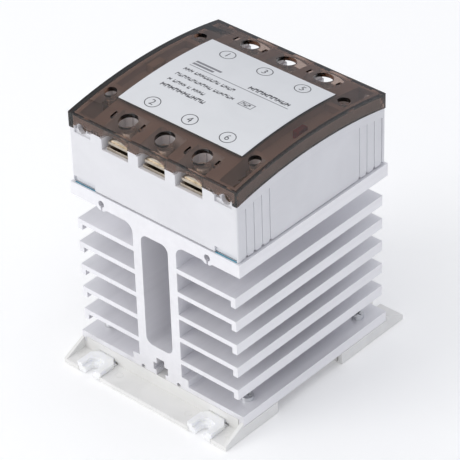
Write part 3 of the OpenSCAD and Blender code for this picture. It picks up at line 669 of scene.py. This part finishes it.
@dataclass
class LabelPrint:
    """Plain print of the label: numbered ovals, a rule, rows of short marks and a small box."""

    cover: Cover
    ring_half: tuple[float, float] = (3.95 * MM, 3.65 * MM)
    line: float = 0.42 * MM
    figure: float = 3.6 * MM
    # Width of the painted shadow line drawn on the cover round the label.
    shadow_width: float = 0.34 * MM
    ring_points: int = 72
    most_marks: int = 200
    word_ends: float = 0.14
    word_gap: float = 1.5 * MM
    mark_gap: float = 0.42 * MM
    columns: tuple[float, float, float] = (-21.0 * MM, 0.9 * MM, 22.7 * MM)
    rows: tuple[float, float] = (-24.9 * MM, 24.3 * MM)

    def strip(self, x0: float, x1: float, y0: float, y1: float, slant: float = 0.0, lift: float | None = None,
              across: int = 3) -> tuple[np.ndarray, np.ndarray]:
        """One printed bar as a small grid bent over the arch.

        Args:
            x0: Left end.
            x1: Right end.
            y0: Front edge.
            y1: Back edge.
            slant: How far the back edge is shifted to the right.
            lift: Height above the label's face, or None for the height of the print.
            across: Rows of points from front to back.

        Returns:
            Points and quads, where x grows with the first parameter plus the slant's share of
            the second, and y grows with the second.
        """
        along = max(2, int((x1 - x0) / (4 * MM)) + 2)
        s, t = np.meshgrid(np.linspace(0, 1, along), np.linspace(0, 1, across), indexing="ij")
        x = x0 + (x1 - x0) * s + slant * t
        y = y0 + (y1 - y0) * t
        points = self.cover.on_arch(x, y, self.cover.lift if lift is None else lift).reshape(-1, 3)
        return points, patch_faces(*s.shape)

    def ring(self, x: float, y: float) -> tuple[np.ndarray, np.ndarray]:
        """One printed oval outline.

        Args:
            x: Middle along X.
            y: Middle along Y.

        Returns:
            Points and quads of a band between two ellipses, run round by an angle.
        """
        angle = np.linspace(0, 2 * math.pi, self.ring_points, endpoint=False)
        inset = np.array([0.0, self.line])
        a, w = np.meshgrid(angle, inset, indexing="ij")
        flat_x = x + (self.ring_half[0] - w) * np.cos(a)
        flat_y = y + (self.ring_half[1] - w) * np.sin(a)
        points = self.cover.on_arch(flat_x, flat_y, self.cover.lift).reshape(-1, 3)
        return points, patch_faces(self.ring_points, 2, closed=True)[:, ::-1]

    def marks(self, x0: float, x1: float, y: float, height: float, seed: int,
              width: tuple[float, float]) -> list[tuple[np.ndarray, np.ndarray]]:
        """A row of short plain marks that stands for a line of print.

        Args:
            x0: Left end of the row.
            x1: Right end of the row.
            y: Middle of the row.
            height: Height of a mark.
            seed: Start of the row's own number series.
            width: Least and most width of a mark.

        Returns:
            The strips of the row.
        """
        series = np.random.default_rng(seed)
        widths = series.uniform(*width, size=self.most_marks)
        gaps = np.where(series.random(self.most_marks) < self.word_ends, self.word_gap, self.mark_gap)
        ends = x0 + np.cumsum(widths + gaps)
        count = int(np.searchsorted(ends, x1))
        starts = ends[:count] - widths[:count] - gaps[:count]
        shares = series.choice([0.0, 0.36, 0.62], size=count)
        stem = 0.3 * width[0]
        lean = 0.1 * height
        strips = []
        for a, w, share in zip(starts, widths[:count], shares):
            low = y - height / 2
            strips.append(self.strip(a, a + stem, low, low + height, lean))
            strips.append(self.strip(a + stem, a + w, low + share * height, low + (share + 0.38) * height, lean / 2))
            strips.append(self.strip(a + w - stem * 0.8, a + w, low + 0.1 * height, low + 0.9 * height, lean))
        return strips

    def digit(self, text: str, x: float, y: float, height: float, shop: Workshop) -> None:
        """One plain number bent over the arch.

        Args:
            text: The number.
            x: Middle along X.
            y: Middle along Y.
            height: Height of the number.
            shop: Where pieces are made.
        """
        curve = bpy.data.curves.new("number", "FONT")
        curve.body = text
        curve.size = 1.0
        curve.resolution_u = 4
        holder = bpy.data.objects.new("number", curve)
        bpy.context.scene.collection.objects.link(holder)
        mesh = bpy.data.meshes.new_from_object(holder.evaluated_get(bpy.context.evaluated_depsgraph_get()))
        bpy.data.objects.remove(holder)
        flat = np.zeros(len(mesh.vertices) * 3)
        mesh.vertices.foreach_get("co", flat)
        flat = flat.reshape(-1, 3)
        low, high = flat.min(0), flat.max(0)
        scale = height / (high[1] - low[1])
        middle = (low + high) / 2
        placed = self.cover.on_arch(x + (flat[:, 0] - middle[0]) * scale, y + (flat[:, 1] - middle[1]) * scale,
                                    self.cover.lift)
        mesh.vertices.foreach_set("co", placed.ravel())
        mesh.materials.clear()
        mesh.materials.append(shop.material("label_ink"))
        made = bpy.data.objects.new(f"label_number_{text}", mesh)
        bpy.context.scene.collection.objects.link(made)
        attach(made, "cover")

    def build(self, shop: Workshop) -> None:
        """Makes the print as a few pieces."""
        sets = {
            "label_rings": ("label_ink", [self.ring(x, y) for y in self.rows for x in self.columns]),
            "label_rules": ("label_ink_pale", self.rules()),
            "label_rows": ("label_ink", self.text_rows()),
            # The dark strips round the label are painted shadow along its edges.
            "label_shadow_line": ("label_edge_shadow", self.rim()),
        }
        for name, (finish, strips) in sets.items():
            points, faces = join_patches(strips)
            shop.piece(name, points, faces, finish, "cover")
        for k, x in enumerate(self.columns):
            self.digit(str(2 * k + 1), x, self.rows[1], self.figure, shop)
            self.digit(str(2 * k + 2), x, self.rows[0], self.figure, shop)

    def rules(self) -> list[tuple[np.ndarray, np.ndarray]]:
        """The long rule, the two heavy bars at its left end and the small box.

        Returns:
            Their strips.
        """
        half = self.line / 2
        left, right, low, high = 9.6 * MM, 17.2 * MM, -4.2 * MM, -0.6 * MM
        lean = 0.5 * MM
        return [
            self.strip(-27.7 * MM, 29.4 * MM, 6.5 * MM - half, 6.5 * MM + half),
            self.strip(-27.4 * MM, -12.6 * MM, 9.9 * MM, 11.2 * MM, 0.3 * MM),
            self.strip(-27.6 * MM, -15.4 * MM, 7.8 * MM, 9.1 * MM, 0.3 * MM),
            self.strip(left, right, low, low + self.line),
            self.strip(left + lean, right + lean, high - self.line, high),
            self.strip(left, left + self.line, low, high, lean),
            self.strip(right - self.line, right, low, high, lean),
        ]

    def rim(self) -> list[tuple[np.ndarray, np.ndarray]]:
        """The painted shadow line around the label: a dark strip on the cover at the label's edges.

        Returns:
            Its four strips, each as long as the label's side and as wide as the painted shadow line shows.
        """
        low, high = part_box("label")
        # The strips lie on the cover just outside the label, as painted shadow of its edges.
        wide, drop = self.shadow_width, self.cover.lift - self.cover.label_rise
        sides = [
            (low.x - wide, high.x + wide, low.y - wide, low.y), (low.x - wide, high.x + wide, high.y, high.y + wide),
            (low.x - wide, low.x, low.y, high.y), (high.x, high.x + wide, low.y, high.y),
        ]
        return [self.strip(*side, lift=drop, across=40 if side[3] - side[2] > wide * 2 else 3) for side in sides]

    def text_rows(self) -> list[tuple[np.ndarray, np.ndarray]]:
        """The rows of short marks.

        Returns:
            Their strips.
        """
        title = MarkRow(left=5.0, right=29.6, middle=9.2, height=2.5, seed=2, narrow=2.0, wide=2.5)
        output = MarkRow(left=-27.5, right=5.4, middle=2.8, height=2.3, seed=3, narrow=1.2, wide=1.7)
        supply = MarkRow(left=-27.6, right=8.4, middle=-2.5, height=2.1, seed=4, narrow=1.2, wide=1.7)
        control = MarkRow(left=-27.6, right=-5.8, middle=-7.6, height=2.1, seed=5, narrow=1.2, wide=1.7)
        maker = MarkRow(left=-27.5, right=0.6, middle=-12.3, height=2.4, seed=6, narrow=1.9, wide=2.4)
        boxed = MarkRow(left=10.9, right=16.4, middle=-2.4, height=1.9, seed=7, narrow=1.0, wide=1.3)
        strips = []
        for row in (title, output, supply, control, maker, boxed):
            width = (row.narrow * MM, row.wide * MM)
            strips += self.marks(row.left * MM, row.right * MM, row.middle * MM, row.height * MM, row.seed, width)
        return strips


def join_patches(patches: Iterable[tuple[np.ndarray, np.ndarray]]) -> tuple[np.ndarray, np.ndarray]:
    """Puts several patches into one mesh.

    Args:
        patches: Points and quads of each patch.

    Returns:
        All points, and all quads renumbered by the count of points before them.
    """
    points, faces, start = [], [], 0
    for some, quads in patches:
        points.append(some)
        faces.append(quads + start)
        start += len(some)
    return np.concatenate(points), np.concatenate(faces)


@dataclass
class Studio:
    """Plain pale floor, soft lights and the camera."""

    floor_half: float = 6.0
    eye: Tone = (0.6788, -0.7350, 0.7842)
    right: Tone = (0.74725, 0.66398, -0.02746)
    up: Tone = (-0.37187, 0.45203, 0.81080)
    back: Tone = (0.55077, -0.59565, 0.58469)
    lens: float = 213.8

    def floor(self, shop: Workshop) -> None:
        """Lays the floor as a coarse flat grid."""
        s, t = np.meshgrid(np.linspace(-1, 1, 9), np.linspace(-1, 1, 9), indexing="ij")
        points = np.stack([s * self.floor_half, t * self.floor_half, np.full_like(s, -0.0002)], axis=-1).reshape(-1, 3)
        mesh = bpy.data.meshes.new("floor")
        mesh.from_pydata(points.tolist(), [], patch_faces(9, 9).tolist())
        mesh.materials.append(shop.material("floor_paper"))
        made = bpy.data.objects.new("floor", mesh)
        bpy.context.scene.collection.objects.link(made)

    def lamp(self, name: str, place: Tone, size: float, power: float) -> None:
        """Adds a square soft light that looks at the middle of the object.

        Args:
            name: The light's name.
            place: Where it stands.
            size: The side of its square.
            power: Its power in watts.
        """
        data = bpy.data.lights.new(name, "AREA")
        data.size = size
        data.energy = power
        made = bpy.data.objects.new(name, data)
        made.location = place
        made.rotation_euler = (Vector((0, 0, 0.06)) - Vector(place)).to_track_quat("-Z", "Y").to_euler()
        bpy.context.scene.collection.objects.link(made)

    def camera(self) -> None:
        """Places the camera from its eye point and its three axes."""
        data = bpy.data.cameras.new("camera")
        data.lens = self.lens
        data.sensor_width = 36.0
        data.clip_start, data.clip_end = 0.05, 50.0
        made = bpy.data.objects.new("camera", data)
        axes = Matrix((self.right, self.up, self.back)).transposed().to_4x4()
        made.matrix_world = Matrix.Translation(self.eye) @ axes
        bpy.context.scene.collection.objects.link(made)
        bpy.context.scene.camera = made

    def build(self, shop: Workshop) -> None:
        """Sets up the whole studio."""
        world = bpy.data.worlds.new("studio")
        world.use_nodes = True
        backdrop = world.node_tree.nodes["Background"]
        sheet = NodeSheet(world.node_tree)
        direction = sheet.add("ShaderNodeTexCoord")
        towards = sheet.add("ShaderNodeVectorMath", operation="DOT_PRODUCT")
        towards.inputs[1].default_value = Vector((-0.5, -0.75, 0.55)).normalized()
        sheet.join(direction.outputs["Generated"], towards.inputs[0])
        share = sheet.fit(towards.outputs["Value"], 0.0, 1.0)
        share.node.inputs["From Min"].default_value = -1.0
        tone = sheet.ramp(share, [(0.0, (0.35, 0.36, 0.45)), (0.45, (0.62, 0.64, 0.69)), (1.0, (1.0, 1.0, 1.0))])
        sheet.join(tone, backdrop.inputs["Color"])
        backdrop.inputs["Strength"].default_value = 0.85
        bpy.context.scene.world = world
        bpy.context.scene.view_settings.view_transform = "Standard"
        self.floor(shop)
        self.lamp("key", place=(-0.9, -1.5, 1.1), size=1.1, power=10.0)
        self.lamp("top", place=(0.2, 0.3, 1.9), size=1.4, power=6.0)
        self.camera()
        LOG.info("studio built")


def main() -> None:
    """Builds the object and the studio."""
    logging.basicConfig(level=logging.INFO, format="%(name)s: %(message)s")
    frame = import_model()
    shop = Workshop(frame)
    for part in (Heatsink(), Feet(), PowerStage(), Terminals(), Housing(), Cover(), Studio()):
        part.build(shop)


if __name__ == "__main__":
    main()
